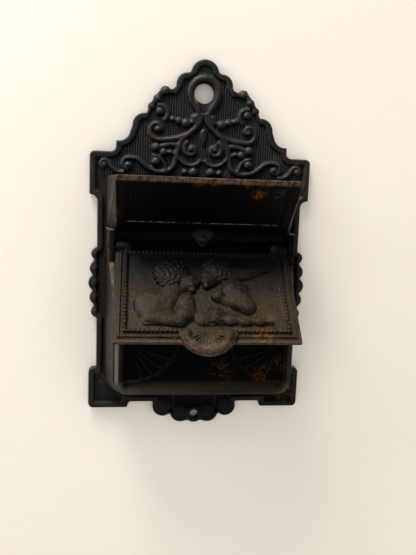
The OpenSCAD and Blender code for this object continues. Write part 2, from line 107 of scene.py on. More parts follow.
class Wiring:
    """Short names for adding and joining shader nodes in one tree."""

    def __init__(self, tree):
        self.tree = tree

    def put(self, kind, **options):
        """Adds a node and sets its options."""
        node = self.tree.nodes.new(kind)
        for key, value in options.items():
            setattr(node, key, value)
        return node

    def feed(self, socket, value):
        """Links an output to a socket, or sets the socket to a plain value."""
        if isinstance(value, bpy.types.NodeSocket):
            self.tree.links.new(value, socket)
        else:
            socket.default_value = value

    def noise(self, place, scale, detail=4.0, rough=0.55):
        """Cloudy noise, mostly between 0.3 and 0.7."""
        node = self.put("ShaderNodeTexNoise")
        self.feed(node.inputs["Vector"], place)
        self.feed(node.inputs["Scale"], scale)
        self.feed(node.inputs["Detail"], detail)
        self.feed(node.inputs["Roughness"], rough)
        return node.outputs["Fac"]

    def ramp(self, value, low, high, to_low=0.0, to_high=1.0):
        """A soft step, as the value goes from low to high."""
        node = self.put("ShaderNodeMapRange", interpolation_type="SMOOTHSTEP")
        for socket, given in zip(node.inputs, (value, low, high, to_low, to_high)):
            self.feed(socket, given)
        return node.outputs["Result"]

    def math(self, operation, a, b=0.0, clamp=False):
        """One sum on two values."""
        node = self.put("ShaderNodeMath", operation=operation, use_clamp=clamp)
        self.feed(node.inputs[0], a)
        self.feed(node.inputs[1], b)
        return node.outputs["Value"]

    def blend(self, share, a, b):
        """Mixes two colours: a where the share is 0, b where it is 1."""
        node = self.put("ShaderNodeMix", data_type="RGBA")
        self.feed(node.inputs["Factor"], share)
        self.feed(node.inputs[MIX_A], a)
        self.feed(node.inputs[MIX_B], b)
        return node.outputs[MIX_RESULT]


print("wiring steps:", [step for step in vars(Wiring) if not step.startswith("_")])

# %% [markdown]
# ## Wall and floor
#
# The wall stands right behind the plate, because the holder hangs flat against it. Seen from behind it would
# hide the object, so its material is clear on the back of its faces, and to shadow rays. It also glows a
# little: painted light that stands in for the stray light of a room and keeps the shadow on it pale. The
# Ambient Occlusion node dims this glow close to the holder, which paints a soft shadow there. Light Path
# keeps it to the rays that see the wall from the camera or in a shiny face, so that it throws no soft light
# on the iron. The floor lies well below, where it throws little light up.

# %% Wall and floor
WALL_SIZE = 2.4
WALL_GAP = 0.3 * MM
FLOOR_DROP = 0.6
WALL_PAINT = (0.5, 0.48, 0.45)
WALL_GLOW = 0.57
FLOOR_PAINT = (0.84, 0.81, 0.75)
FLOOR_GLOW = 0.0
GLOW_TINT = (1.0, 0.93, 0.82, 1)
GLOW_DIMS_WITHIN = 0.045
PAINT_ROUGHNESS = 0.9
PAINT_GRAIN = 180
PAINT_BUMP = 0.15
PAINT_BUMP_DEPTH = 0.001


def background_rays(w):
    """A value of 1 for the camera's rays and for those that metal and glass send on, else 0."""
    ray = w.put("ShaderNodeLightPath").outputs
    sent_on = w.math("MAXIMUM", ray["Is Glossy Ray"], ray["Is Transmission Ray"])
    return w.math("MAXIMUM", ray["Is Camera Ray"], sent_on)


def stage_material(name, colour, glow):
    """A matt, slightly uneven paint with a faint glow, clear from behind and to shadow rays."""
    material = bpy.data.materials.new(name)
    material.use_nodes = True
    w = Wiring(material.node_tree)
    paint = material.node_tree.nodes["Principled BSDF"]
    w.feed(paint.inputs["Base Color"], (*colour, 1))
    w.feed(paint.inputs["Roughness"], PAINT_ROUGHNESS)
    w.feed(paint.inputs["Emission Color"], GLOW_TINT)
    # Painted shadow: Ambient Occlusion dims the glow close to the holder
    painted_shade_near_holder = w.put("ShaderNodeAmbientOcclusion")
    w.feed(painted_shade_near_holder.inputs["Distance"], GLOW_DIMS_WITHIN)
    stray = w.math("MULTIPLY", painted_shade_near_holder.outputs["AO"], glow)
    w.feed(paint.inputs["Emission Strength"], w.math("MULTIPLY", stray, background_rays(w)))
    place = w.put("ShaderNodeTexCoord").outputs["Object"]
    bump = w.put("ShaderNodeBump")
    w.feed(bump.inputs["Strength"], PAINT_BUMP)
    w.feed(bump.inputs["Distance"], PAINT_BUMP_DEPTH)
    w.feed(bump.inputs["Height"], w.noise(place, PAINT_GRAIN, rough=0.5))
    w.feed(paint.inputs["Normal"], bump.outputs["Normal"])
    behind = w.put("ShaderNodeNewGeometry").outputs["Backfacing"]
    shadow = w.put("ShaderNodeLightPath").outputs["Is Shadow Ray"]
    mix = w.put("ShaderNodeMixShader")
    w.feed(mix.inputs["Fac"], w.math("MAXIMUM", behind, shadow))
    w.feed(mix.inputs[1], paint.outputs["BSDF"])
    w.feed(mix.inputs[2], w.put("ShaderNodeBsdfTransparent").outputs["BSDF"])
    w.feed(material.node_tree.nodes["Material Output"].inputs["Surface"], mix.outputs["Shader"])
    return material


def stage_plane(name, location, rotation, material):
    """A large square that only sets the scene."""
    bpy.ops.object.select_all(action="DESELECT")
    bpy.ops.mesh.primitive_plane_add(size=WALL_SIZE, location=location, rotation=rotation)
    plane = bpy.context.object
    plane.name = name
    plane.data.materials.append(material)


floor_z = cad_box[0].z - FLOOR_DROP
stage_plane("wall", (0, WALL_GAP, floor_z + WALL_SIZE / 2), (math.radians(90), 0, 0),
            stage_material("cream_wall", WALL_PAINT, WALL_GLOW))
stage_plane("floor", (0, WALL_GAP - WALL_SIZE / 2, floor_z), (0, 0, 0),
            stage_material("pale_floor", FLOOR_PAINT, FLOOR_GLOW))
print("floor at", round(floor_z / MM), "mm")

# %% [markdown]
# ## Light
#
# The key lamp stands high to the left: the tray's lip then shades the top of the lid, and the lid shades the
# front of the box. A weak lamp from the left opens the shadows, and one behind shows the back of the plate.
# The room itself is dim where it lights the iron and paler where it is seen.

# %% Lamps and room
# Each lamp is (name, place in m, size in m, watts, colour)
LAMPS = [
    ("key", (-0.29, -0.31, 0.84), 0.36, 13.8, (1.0, 0.93, 0.84)),
    ("side", (-0.5, -0.15, 0.2), 0.3, 1.8, (0.97, 0.98, 1.0)),
    ("back", (0.55, 0.6, 0.3), 0.4, 6, (1.0, 0.97, 0.93)),
]
ROOM_TINT = (1.0, 0.97, 0.93, 1)
ROOM_LIGHT, ROOM_SEEN = 0.12, 0.4


def soft_lamp(name, location, target, size, watts, colour):
    """A square lamp that points at a target."""
    bpy.ops.object.select_all(action="DESELECT")
    bpy.ops.object.light_add(type="AREA", location=location)
    lamp = bpy.context.object
    lamp.name = name
    lamp.data.size = size
    lamp.data.energy = watts
    lamp.data.color = colour
    lamp.rotation_euler = (Vector(target) - Vector(location)).to_track_quat("-Z", "Y").to_euler()


holder_middle = (cad_box[0] + cad_box[1]) / 2
for name, location, size, watts, colour in LAMPS:
    soft_lamp(name, location, holder_middle, size, watts, colour)

world = bpy.data.worlds.new("pale_room")
bpy.context.scene.world = world
world.use_nodes = True
room = Wiring(world.node_tree)
sky = world.node_tree.nodes["Background"]
sky_level = room.put("ShaderNodeMapRange")
room.feed(sky_level.inputs["Value"], background_rays(room))
room.feed(sky_level.inputs["To Min"], ROOM_LIGHT)
room.feed(sky_level.inputs["To Max"], ROOM_SEEN)
room.feed(sky.inputs["Color"], ROOM_TINT)
room.feed(sky.inputs["Strength"], sky_level.outputs["Result"])
bpy.context.scene.view_settings.view_transform = "Standard"
print("lamps:", [lamp[0] for lamp in LAMPS])

# %% [markdown]
# ## The old iron
#
# All the castings share one finish: nearly black iron, mottled by old blacking, paler where hands and matches
# rubbed the raised edges, darker in creases from grime and painted shade, painted dark as shade on faces that
# look down, dusty on top, gritty, and rusty in patches. One node group makes these masks, and each casting
# sets its own amounts. Object coordinates are in metres here, so a noise scale of 200 gives marks about 5 mm
# wide.
# The Pointiness of the fine mesh says where an edge stands proud and where a crease lies deep.

# %% Node group for old iron
GROUP_INPUTS = [
    ("NodeSocketColor", "Iron", (0.004, 0.004, 0.0042, 1)),
    ("NodeSocketColor", "Blacking", (0.011, 0.0105, 0.011, 1)),
    ("NodeSocketColor", "Rubbed", (0.05, 0.048, 0.05, 1)),
    ("NodeSocketColor", "Dust", (0.03, 0.026, 0.022, 1)),
    ("NodeSocketColor", "Rust", (0.07, 0.028, 0.012, 1)),
    ("NodeSocketColor", "Grit", (0.13, 0.11, 0.09, 1)),
    ("NodeSocketFloat", "Wear", 0.6),
    ("NodeSocketFloat", "Crease Grime And Shade", 0.8),
    ("NodeSocketFloat", "Dust Amount", 0.4),
    ("NodeSocketFloat", "Rust Amount", 0.5),
    ("NodeSocketFloat", "Grit Amount", 0.25),
    ("NodeSocketFloat", "Roughness", 0.4),
]
GROUP_OUTPUTS = [
    ("NodeSocketColor", "Color"),
    ("NodeSocketFloat", "Roughness"),
    ("NodeSocketFloat", "Height"),
]
# Near black for painted shade: in creases (with grime), under things, in recesses and where other parts cast
# shadow
SOOT_AND_SHADE = (0.0012, 0.001, 0.0008, 1)
# Noise scales, about as many marks as fit in a metre
RUST_PATCHES, MOTTLING, DUST_COVER, PITS, CRUMBS = 70, 130, 260, 420, 480
RUST_GRAIN, IRON_GRAIN, GRIT_GRAIN, SPECKLES = 620, 900, 1100, 1500
# How much each adds to the roughness, and to the height of the bump
DUST_DULLS, RUST_DULLS, MOTTLE_DULLS = 0.3, 0.4, 0.12
PIT_HEIGHT, SPECKLE_HEIGHT = 0.7, 0.45


def old_iron_group():
    """The finish that all the castings share, as masks laid over each other."""
    group = bpy.data.node_groups.new("old_iron", "ShaderNodeTree")
    for kind, label, value in GROUP_INPUTS:
        group.interface.new_socket(label, in_out="INPUT", socket_type=kind).default_value = value
    for kind, label in GROUP_OUTPUTS:
        group.interface.new_socket(label, in_out="OUTPUT", socket_type=kind)
    w = Wiring(group)
    given = w.put("NodeGroupInput").outputs
    result = w.put("NodeGroupOutput").inputs
    coordinates = w.put("ShaderNodeTexCoord").outputs
    place = coordinates["Object"]
    facing = w.put("ShaderNodeSeparateXYZ")
    w.feed(facing.inputs[0], coordinates["Normal"])
    point = w.put("ShaderNodeNewGeometry").outputs["Pointiness"]

    mottle = w.ramp(w.noise(place, MOTTLING, 6, 0.65), 0.35, 0.7)
    speckle = w.noise(place, SPECKLES, 3)
    edge = w.math("MULTIPLY", w.ramp(point, 0.505, 0.57), w.ramp(speckle, 0.3, 0.6, 0.35, 1.0))
    edge = w.math("MULTIPLY", edge, given["Wear"])
    # Darker in creases: grime, and painted shade where a crease lies deep
    crease_grime_and_shade = w.math("MULTIPLY", w.ramp(point, 0.495, 0.43), given["Crease Grime And Shade"], True)
    cover = w.ramp(w.noise(place, DUST_COVER, 6, 0.7), 0.3, 0.65)
    up = w.math("MULTIPLY", w.ramp(facing.outputs["Z"], 0.05, 0.9), cover)
    dust = w.math("MULTIPLY", up, given["Dust Amount"], True)
    patch = w.ramp(w.noise(place, RUST_PATCHES, 5, 0.6), 0.5, 0.68)
    rust = w.math("MULTIPLY", patch, w.ramp(w.noise(place, RUST_GRAIN, 5, 0.7), 0.42, 0.62))
    rust = w.math("MULTIPLY", rust, given["Rust Amount"], True)
    specks = w.ramp(w.noise(place, GRIT_GRAIN, 2, 0.6), 0.62, 0.74)
    grit = w.math("MULTIPLY", specks, given["Grit Amount"], True)

    colour = w.blend(mottle, given["Iron"], given["Blacking"])
    colour = w.blend(edge, colour, given["Rubbed"])
    colour = w.blend(dust, colour, given["Dust"])
    colour = w.blend(rust, colour, given["Rust"])
    colour = w.blend(grit, colour, given["Grit"])
    colour = w.blend(crease_grime_and_shade, colour, SOOT_AND_SHADE)
    # Painted shade: faces that look down are darkened, as light from above misses them
    colour = w.blend(w.ramp(facing.outputs["Z"], -0.25, -0.6), colour, SOOT_AND_SHADE)
    grain = w.put("ShaderNodeVectorMath", operation="SCALE")
    w.feed(grain.inputs[0], colour)
    w.feed(grain.inputs["Scale"], w.ramp(w.noise(place, IRON_GRAIN, 5, 0.75), 0.3, 0.7, 0.45, 1.6))
    dull = w.math("ADD", w.math("MULTIPLY", dust, DUST_DULLS), w.math("MULTIPLY", rust, RUST_DULLS))
    dull = w.math("ADD", dull, w.math("MULTIPLY", mottle, MOTTLE_DULLS))
    pits = w.math("MULTIPLY", w.noise(place, PITS, 5, 0.7), PIT_HEIGHT)
    w.feed(result["Color"], grain.outputs["Vector"])
    w.feed(result["Roughness"], w.math("ADD", given["Roughness"], dull, True))
    w.feed(result["Height"], w.math("ADD", pits, w.math("MULTIPLY", speckle, SPECKLE_HEIGHT)))
    return group


OLD_IRON = old_iron_group()
print("node group:", OLD_IRON.name, len(OLD_IRON.nodes), "nodes")

# %% [markdown]
# ## One material for each casting
#
# Each material places the group, changes what differs, and adds the marks that belong to that casting:
# patches of rust, a rubbed edge, painted shade, painted highlights. A mark is the distance to a point, or to
# a line or a plane where one or two axes are left out of the distance, broken up by noise. It is measured in
# the casting's own space and so moves with the lid. The plate also has painted shade on one side of a few
# levels,
# such as its ground behind the scrolls: there a ramp along one axis darkens the colour and roughens the face.

# %% Helpers for materials
# How much the painted shade of a level adds to the roughness
SHADE_DULLS = 0.4
BUMP_DEPTH = 0.4
# The axes that count for a mark's distance
SPOT, ALONG_X, ALONG_Z, AT_DEPTH = (1, 1, 1), (0, 1, 1), (1, 1, 0), (0, 1, 0)
# The share of a mark's radius that is full, and the noise levels between which it crumbles at no cover
MARK_CORE = 0.2
CRUMBLE_FROM, CRUMBLE_TO, COVER_LOWERS = 0.66, 0.8, 0.5


def add_mark(w, colour, place, crumbs, mark):
    """Lays one mark over a colour. A mark is (shape, point in mm, radius in mm, colour, share covered)."""
    shape, point, radius, tint, cover = mark
    flat = w.put("ShaderNodeVectorMath", operation="MULTIPLY")
    w.feed(flat.inputs[0], place)
    w.feed(flat.inputs[1], shape)
    away = w.put("ShaderNodeVectorMath", operation="DISTANCE")
    w.feed(away.inputs[0], flat.outputs["Vector"])
    w.feed(away.inputs[1], [p * s * MM for p, s in zip(point, shape)])
    near = w.ramp(away.outputs["Value"], radius * MM, radius * MM * MARK_CORE)
    broken = w.ramp(crumbs, CRUMBLE_FROM - COVER_LOWERS * cover, CRUMBLE_TO - COVER_LOWERS * cover)
    return w.blend(w.math("MULTIPLY", near, broken), colour, tint)


def iron_material(name, marks=(), shaded_levels=(), bump=0.35, shine=0.35, **changes):
    """Old iron for one casting, where changes name the group's inputs.

    Each shaded level is (axis, where the painted shade lies and where it ends in mm, share of clean iron that
    shows in it).
    """
    material = bpy.data.materials.new(name)
    material.use_nodes = True
    w = Wiring(material.node_tree)
    shader = material.node_tree.nodes["Principled BSDF"]
    iron = w.put("ShaderNodeGroup")
    iron.node_tree = OLD_IRON
    for label, value in changes.items():
        w.feed(iron.inputs[label.replace("_", " ")], value)
    colour = iron.outputs["Color"]
    rough = iron.outputs["Roughness"]
    place = w.put("ShaderNodeTexCoord").outputs["Object"]
    axes = w.put("ShaderNodeSeparateXYZ")
    w.feed(axes.inputs[0], place)
    # Painted shade along an axis: darker and rougher on one side of a level
    for axis, dark, clean, least in shaded_levels:
        bare = w.ramp(axes.outputs[axis], dark * MM, clean * MM, least)
        colour = w.blend(bare, SOOT_AND_SHADE, colour)
        rough = w.math("ADD", rough, w.ramp(bare, 1.0, 0.0, 0.0, SHADE_DULLS), True)
    crumbs = w.noise(place, CRUMBS, 6, 0.75)
    for mark in marks:
        colour = add_mark(w, colour, place, crumbs, mark)
    grain = w.put("ShaderNodeBump")
    w.feed(grain.inputs["Strength"], bump)
    w.feed(grain.inputs["Distance"], BUMP_DEPTH * MM)
    w.feed(grain.inputs["Height"], iron.outputs["Height"])
    w.feed(shader.inputs["Base Color"], colour)
    w.feed(shader.inputs["Roughness"], rough)
    w.feed(shader.inputs["Specular IOR Level"], shine)
    w.feed(shader.inputs["Normal"], grain.outputs["Normal"])
    return material


print("helpers:", add_mark.__name__, iron_material.__name__)

# %% [markdown]
# ## The marks of each casting
#
# On the real holder the plate is a cold black, and the lid a warm brown with gritty dirt. The tray's lip and
# the lid's front edge are rubbed to a brown, and rust blooms in a few bright patches. The box's recess is
# painted dark as shade under the lid, and the cove at its foot is paler with dust and with painted light. The
# lid is painted dark towards its hinge as the shadow of the tray, and darker on parts of the figures as
# shade.
# Painted highlights lie on the box's left bevel, along the ledge at the foot of the striker, on the lug and
# on the lid's right knuckle. Every mark has its own place in millimetres, so that it can be moved by hand as
# a patch of paint can.

# %% Materials
RUST_BRIGHT = (0.17, 0.065, 0.018, 1)
RUST_BROWN = (0.075, 0.042, 0.026, 1)
WARM_DIRT = (0.034, 0.021, 0.0095, 1)
LIP_BROWN = (0.12, 0.076, 0.054, 1)
# Painted glint: a near-white line of light
LEDGE_GLINT = (0.5, 0.46, 0.4, 1)
# Painted highlight for a bevel
BEVEL_HIGHLIGHT = (0.13, 0.122, 0.108, 1)
# Dust, made paler to paint the light that the cove catches
COVE_DUST_AND_LIGHT = (0.07, 0.061, 0.043, 1)
# Painted light for parts that sit in shade
PAINTED_LIGHT_GREY = (0.055, 0.055, 0.055, 1)

plate_iron = iron_material(
    "plate_iron",
    [(SPOT, (37, -3, -29), 5, RUST_BROWN, 0.4), (SPOT, (11, -3.5, -36), 4, RUST_BRIGHT, 0.4),
     (SPOT, (47, -3, -150), 8, RUST_BRIGHT, 0.4), (SPOT, (-46, -3, -140), 7, RUST_BROWN, 0.4)],
    # Painted shade: darker ground behind the scrolls and between the ribs, and a darker palmette under the
    # box
    [("Y", -2.3, -4.2, 0.68), ("Y", -2.4, -2.75, 0.4), ("Z", -157, -147, 0.35)], bump=0.7, shine=0.32,
    Roughness=0.4, Iron=(0.0056, 0.0059, 0.0068, 1), Blacking=(0.016, 0.0165, 0.0185, 1))
box_iron = iron_material(
    "box_iron",
    # Painted shade: the recessed front is blacked as in the shadow of the lid
    [(AT_DEPTH, (0, -38.3, 0), 2.0, SOOT_AND_SHADE, 1.0),
     (SPOT, (34, -40, -124), 7, RUST_BROWN, 0.4), (SPOT, (8, -40, -127), 9, RUST_BROWN, 0.35),
     # Painted highlight: a pale strip down the left bevel stands in for the light it reflects
     (SPOT, (26, -40, -128), 6, RUST_BRIGHT, 0.4), (ALONG_Z, (-39.2, -40.2, 0), 1.9, BEVEL_HIGHLIGHT, 0.9),
     # Paler along the cove at the foot: dust, and painted light that the cove catches
     (ALONG_X, (0, -41, -134.2), 4.6, COVE_DUST_AND_LIGHT, 0.75)],
    shine=0.05, Iron=(0.004, 0.0036, 0.0032, 1), Blacking=(0.0085, 0.0076, 0.0066, 1),
    Rubbed=(0.036, 0.032, 0.026, 1), Wear=0.7, Dust=(0.15, 0.13, 0.09, 1), Dust_Amount=0.7)
tray_iron = iron_material(
    "tray_iron",
    [(SPOT, (22, -36, -48), 5, RUST_BRIGHT, 0.45), (SPOT, (31, -36, -47), 4, RUST_BROWN, 0.4),
     (ALONG_X, (0, -41.2, -41.4), 3.2, LIP_BROWN, 0.46), (SPOT, (-44, -22, -54), 9, RUST_BROWN, 0.42)]
    + [(SPOT, (x, -41, -43), 4.5, RUST_BRIGHT, 0.4) for x in (-5, 2, 16, 23)]
    # Painted light: a glint along the ledge at the foot of the striker, and a paler lug in the shade under
    # the tray
    + [(ALONG_X, (0, -21.3, -61), 0.32, LEDGE_GLINT, 0.46), (SPOT, (0, -15.6, -68), 7, PAINTED_LIGHT_GREY, 0.9)],
    shine=0.08, Iron=(0.014, 0.0125, 0.011, 1), Blacking=(0.044, 0.038, 0.033, 1),
    Wear=0.2, Roughness=0.5)
lid_iron = iron_material(
    "lid_iron",
    [(SPOT, (29, -44, -101), 5, RUST_BRIGHT, 0.4), (SPOT, (27, -36, -94), 6, RUST_BROWN, 0.4),
     (SPOT, (24, -51, -108), 7, RUST_BRIGHT, 0.4), (ALONG_X, (0, -52.8, -110.6), 2.6, LIP_BROWN, 0.55)]
    + [(SPOT, (x, -56, -112), 6, LIP_BROWN, 0.55) for x in (-8, 0, 7)]
    # The second mark is painted shadow: a broad dark band from the hinge down the lid, as cast by the tray's
    # lip
    + [(SPOT, (31, -38, -96), 15, WARM_DIRT, 0.43), (ALONG_X, (0, -15.5, -72), 40, SOOT_AND_SHADE, 1.0),
       # Painted highlight on the right knuckle, which sits in shade
       (SPOT, (32, -18, -70), 6, PAINTED_LIGHT_GREY, 0.9)]
    # Painted shade: darker patches on the figures' limbs and bodies
    + [(SPOT, place, 9, SOOT_AND_SHADE, 0.44)
       for place in ((-12, -44, -101), (3, -43, -100), (20, -33, -90), (-27, -30, -87))],
    bump=0.85, shine=0.14, Iron=(0.0026, 0.0019, 0.0012, 1), Blacking=(0.029, 0.02, 0.011, 1),
    Rubbed=(0.06, 0.048, 0.036, 1), Dust=(0.045, 0.0295, 0.015, 1), Dust_Amount=0.55,
    Grit=(0.19, 0.14, 0.09, 1), Grit_Amount=0.6, Roughness=0.41)
pin_iron = iron_material("pin_iron", Iron=(0.006, 0.005, 0.0045, 1), Blacking=(0.016, 0.012, 0.01, 1))
print("materials:", [m.name for m in (plate_iron, box_iron, tray_iron, lid_iron, pin_iron)])

# %% [markdown]
# ## From construction solid to casting
#
# A sand mould rounds every edge and fillets every corner. The construction solids have sharp ones, so each
# casting starts as a copy of its solid, gets its carving laid on as separate lumps, and is then remeshed: the
# Remesh modifier turns all of it into one skin on a fine grid, Smooth melts the edges, and Decimate thins the
# flat parts.

# %% Helpers for castings
WELD = 0.001
MELT_FACTOR = 0.5
MOST_TRIANGLES = 190_000


def select_only(piece):
    """Selects one piece, because an operator acts on all that is selected."""
    bpy.ops.object.select_all(action="DESELECT")
    piece.select_set(True)
    bpy.context.view_layer.objects.active = piece


def blank_from(node, name):
    """A copy of a construction solid with its loose triangles merged."""
    mesh = nodes[node].data.copy()
    mesh.materials.clear()
    piece = bpy.data.objects.new(name, mesh)
    bpy.context.scene.collection.objects.link(piece)
    select_only(piece)
    bpy.ops.object.mode_set(mode="EDIT")
    bpy.ops.mesh.select_all(action="SELECT")
    bpy.ops.mesh.remove_doubles(threshold=WELD * MM)
    bpy.ops.object.mode_set(mode="OBJECT")
    return piece


def fuse(piece, lumps):
    """Joins lumps into a piece's mesh."""
    select_only(piece)
    for lump in lumps:
        lump.select_set(True)
    bpy.ops.object.join()
    return piece


def use_modifier(piece, kind, **settings):
    """Adds a modifier, sets it and applies it."""
    select_only(piece)
    modifier = piece.modifiers.new(kind.lower(), kind)
    for key, value in settings.items():
        setattr(modifier, key, value)
    bpy.ops.object.modifier_apply(modifier=modifier.name)


def cast(piece, grid, melt, most_triangles=MOST_TRIANGLES):
    """Turns a blank and its lumps into one skin, on a grid in mm and melted so many times."""
    use_modifier(piece, "REMESH", mode="VOXEL", voxel_size=grid * MM)
    use_modifier(piece, "SMOOTH", factor=MELT_FACTOR, iterations=melt)
    triangles = 2 * len(piece.data.polygons)
    if triangles > most_triangles:
        use_modifier(piece, "DECIMATE", ratio=most_triangles / triangles)
    select_only(piece)
    bpy.ops.object.shade_smooth()
    print(piece.name, "has", len(piece.data.polygons), "faces")


def dress(piece, node, body, material):
    """Puts a finished casting in the place of its construction solid."""
    piece.data.materials.clear()
    piece.data.materials.append(material)
    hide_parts(node)
    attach(piece, body)


print("most triangles in a casting:", MOST_TRIANGLES)

# %% [markdown]
# ## Lumps and bands
#
# The carving has two kinds of form: rounded lumps, such as a bead or a petal, and round bands, such as a
# scroll or a lock of hair. A squeezed ball makes the first. A bevelled curve makes the second at once: its
# points are the band's centre line, and the radius at each point thins or thickens it.

# %% Helpers for lumps and bands
BAND_SMOOTHNESS = 3


def ball(place, radii, turn=0.0, segments=16, rings=10):
    """A ball squeezed to three radii and turned about Z."""
    bpy.ops.object.select_all(action="DESELECT")
    bpy.ops.mesh.primitive_uv_sphere_add(segments=segments, ring_count=rings, radius=1)
    lump = bpy.context.object
    squeeze = Matrix.Diagonal((*[r * MM for r in radii], 1))
    lump.data.transform(Matrix.Translation(Vector(place) * MM) @ Matrix.Rotation(turn, 4, "Z") @ squeeze)
    return lump


def tubes(name, paths):
    """Round bands: each path is a list of (x, y, z, radius) in mm."""
    curve = bpy.data.curves.new(name, "CURVE")
    curve.dimensions = "3D"
    curve.bevel_depth = MM
    curve.bevel_resolution = BAND_SMOOTHNESS
    curve.use_fill_caps = True
    for path in paths:
        spline = curve.splines.new("POLY")
        spline.points.add(len(path) - 1)
        for point, (x, y, z, radius) in zip(spline.points, path):
            point.co = (x * MM, y * MM, z * MM, 1)
            point.radius = radius
    lump = bpy.data.objects.new(name, curve)
    bpy.context.scene.collection.objects.link(lump)
    select_only(lump)
    bpy.ops.object.convert(target="MESH")
    return bpy.context.object


print("helpers:", ball.__name__, tubes.__name__)

# %% [markdown]
# ## Back plate: scrollwork
#
# The pediment is covered in running scrolls: round bands that branch from a stem under the hole and curl into
# volutes with a button in the eye. The points of each band follow a cubic stem or a spiral, and its radius
# thins towards its end.

# %% Scroll bands
PLATE_T = 2.4
BAND_W = 2.4
BAND_R = 0.66 * BAND_W
BAND_SINK = 0.3
BUTTON_RISE = 0.95


def stem(a, b, c, d, steps=14):
    """Points on a cubic curve from a to d."""
    points = []
    for i in range(steps + 1):
        t = i / steps
        shares = ((1 - t) ** 3, 3 * t * (1 - t) ** 2, 3 * t * t * (1 - t), t ** 3)
        points.append(tuple(sum(share * p[k] for share, p in zip(shares, (a, b, c, d))) for k in (0, 1)))
    return points


def volute(centre, r0, r1, a0, a1, steps=28):
    """Points on a spiral round a centre, with angles in degrees."""
    points = []
    for i in range(steps + 1):
        t = i / steps
        angle = math.radians(a0 + (a1 - a0) * t)
        radius = r0 + (r1 - r0) * t
        points.append((centre[0] + radius * math.cos(angle), centre[1] + radius * math.sin(angle)))
    return points


# Each scroll is a path with its widths at root and tip, as shares of the band's full width
scrolls = [
    (volute((0, 0), 6.7, 6.7, 90, -20, 14) + stem((6.1, -3), (5, -6), (2.2, -8), (2.5, -10.4), 8)
     + volute((4.2, -11.3), 1.85, 0.95, 172, 395, 12), 1.5, 0.7),
    (stem((0.9, -9.4), (1.2, -16.5), (9, -22.6), (20.4, -22.7))
     + volute((21.9, -17.8), 4.9, 1, -95, 230), 1, 0.65),
    (stem((19.4, -13.6), (16.2, -12.2), (16.6, -6.2), (22.4, -6.6)), 0.9, 0.7),
    (stem((1.6, -12.4), (5, -14.9), (8, -13.8), (15, -12.8)), 0.9, 0.6),
    (volute((5.7, -26.6), 4, 0.9, 70, -330, 34), 0.9, 0.6),
    (stem((6.4, -19.2), (12.8, -21.4), (12.2, -30), (13.8, -34.4))
     + stem((13.8, -34.4), (15.4, -38.6), (22, -39), (26.6, -36))[1:]
     + stem((26.6, -36), (29.6, -34), (30.6, -31.6), (34.4, -31.7))[1:]
     + volute((35.9, -35.1), 3.4, 0.9, 95, -235), 1, 0.6),
    (stem((37.6, -38.7), (41.6, -39.6), (43.4, -37), (44.5, -34.6))
     + volute((47.2, -35.4), 2.6, 0.8, 145, -170), 0.8, 0.5),
    (stem((17.7, -37.5), (18.2, -32.4), (20.6, -29.9), (24.2, -30.2)), 0.7, 0.5),
    (stem((12.4, -25.4), (14.8, -23.9), (17.6, -25.2), (22.2, -26.2)), 0.9, 0.8),
    (stem((12.8, -30.2), (14.4, -28), (16.6, -28.2), (18.9, -28.5)), 0.8, 0.7),
    (stem((0.9, -31.4), (2.6, -35.3), (8.8, -35.7), (11.8, -30.6)), 0.8, 0.7),
]
# Each button is (x, z, radius). The last three are knobs on the rim
scroll_buttons = [
    (21.9, -17.8, 1.9), (5.7, -26.6, 1.8), (35.9, -35.1, 1.8), (47.2, -35.4, 1.5), (4.2, -11.3, 1.7),
    (21.2, -9.6, 2.2), (8.6, -14.6, 2.5), (12, -13.6, 2.0), (15.1, -12.8, 1.7), (22.7, -26.4, 2.4),
    (19, -28.6, 2.2), (15.8, -28.4, 1.7), (22.7, -33.3, 2.5), (4.2, -37.6, 2.5), (8.4, -37.5, 1.8),
    (0, -18.2, 1.7), (0, -20, 1.8), (0, -21.8, 1.5), (0, -23.4, 1.1), (0, -24.7, 0.8),
    (18.8, 0, 2.3), (22.3, -3.7, 2), (25, -7.4, 1.8),
]


def both_ways(x):
    """A place and its mirror image, or the one place on the middle line."""
    return (x, -x) if x else (x,)


def scroll_tube(path, root, tip, side):
    """A band's centre line with its radius at each point."""
    last = len(path) - 1
    return [(side * x, -PLATE_T - BAND_SINK, z, BAND_R * (root + (tip - root) * i / last))
            for i, (x, z) in enumerate(path)]


print("scroll bands:", 2 * len(scrolls))

# %% [markdown]
# ## Back plate: rim
#
# A thick rim runs round the plate. The solid's rim is thinner than the real one, so its inner wall is pushed
# out over the ground by the Shrink/Fatten operator, which moves faces along their normals. The wall's faces
# are found by their place: they stand upright, and their corners lie only on the ground and on the rim's top.
# The scroll bands and buttons are then made, to be fused to the plate with the lumps of the next step.

# %% Rim
RIM_H = 1.3
RIM_SWELL = 0.7
LEVEL_SLACK = 0.02
UPRIGHT = 0.1


def fatten_rim(piece):
    """Pushes the rim's inner wall out over the ground."""
    levels = (PLATE_T, PLATE_T + RIM_H)
    mesh = piece.data
    select_only(piece)
    bpy.ops.object.mode_set(mode="EDIT")
    bpy.ops.mesh.select_mode(type="FACE")
    bpy.ops.mesh.select_all(action="DESELECT")
    bpy.ops.object.mode_set(mode="OBJECT")
    for face in mesh.polygons:
        depths = [-mesh.vertices[v].co.y / MM for v in face.vertices]
        on_levels = all(min(abs(d - level) for level in levels) < LEVEL_SLACK for d in depths)
        face.select = on_levels and abs(face.normal.y) < UPRIGHT
    print("rim faces:", sum(face.select for face in mesh.polygons))
    bpy.ops.object.mode_set(mode="EDIT")
    bpy.ops.transform.shrink_fatten(value=RIM_SWELL * MM)
    bpy.ops.object.mode_set(mode="OBJECT")


